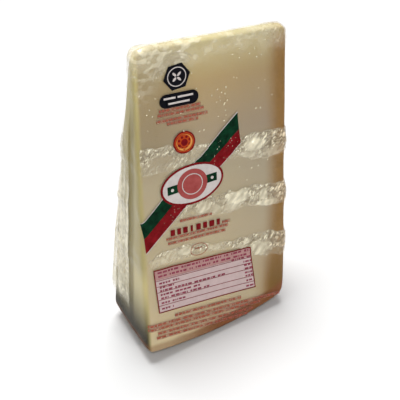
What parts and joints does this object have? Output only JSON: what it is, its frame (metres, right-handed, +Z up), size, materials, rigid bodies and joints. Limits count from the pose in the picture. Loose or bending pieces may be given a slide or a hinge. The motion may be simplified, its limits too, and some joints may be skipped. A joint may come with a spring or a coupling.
{
  "type": "vacuum-packed parmesan wedge",
  "caption": "Vacuum-packed wedge of hard aged cheese in clear printed film with crinkled bands, standing on its rind.",
  "frame": {"origin": "centre of the pack's bounding box in X and Y, on the surface it stands on in Z", "axes": "+Z up, from the rind on the floor to the wedge's tip; the printed cut face looks to -Y; +X points to the wheel's flat rind side"},
  "size_m": [0.147, 0.0632, 0.2171],
  "materials": {
    "cheese": "pale straw cut cheese, browner at the rind, seen through tight film",
    "film": "clear vacuum film, glossy, crinkled and whitish where it is loose",
    "green_ink": "dark green print under gloss film",
    "red_ink": "dark red print under gloss film",
    "dark_ink": "blue-black print under gloss film",
    "pale_ink": "thin whitish print under gloss film",
    "orange_ink": "orange print under gloss film"
  },
  "bodies": {
    "root": {"parmesan_pack": "cheese"}
  },
  "joints": []
}
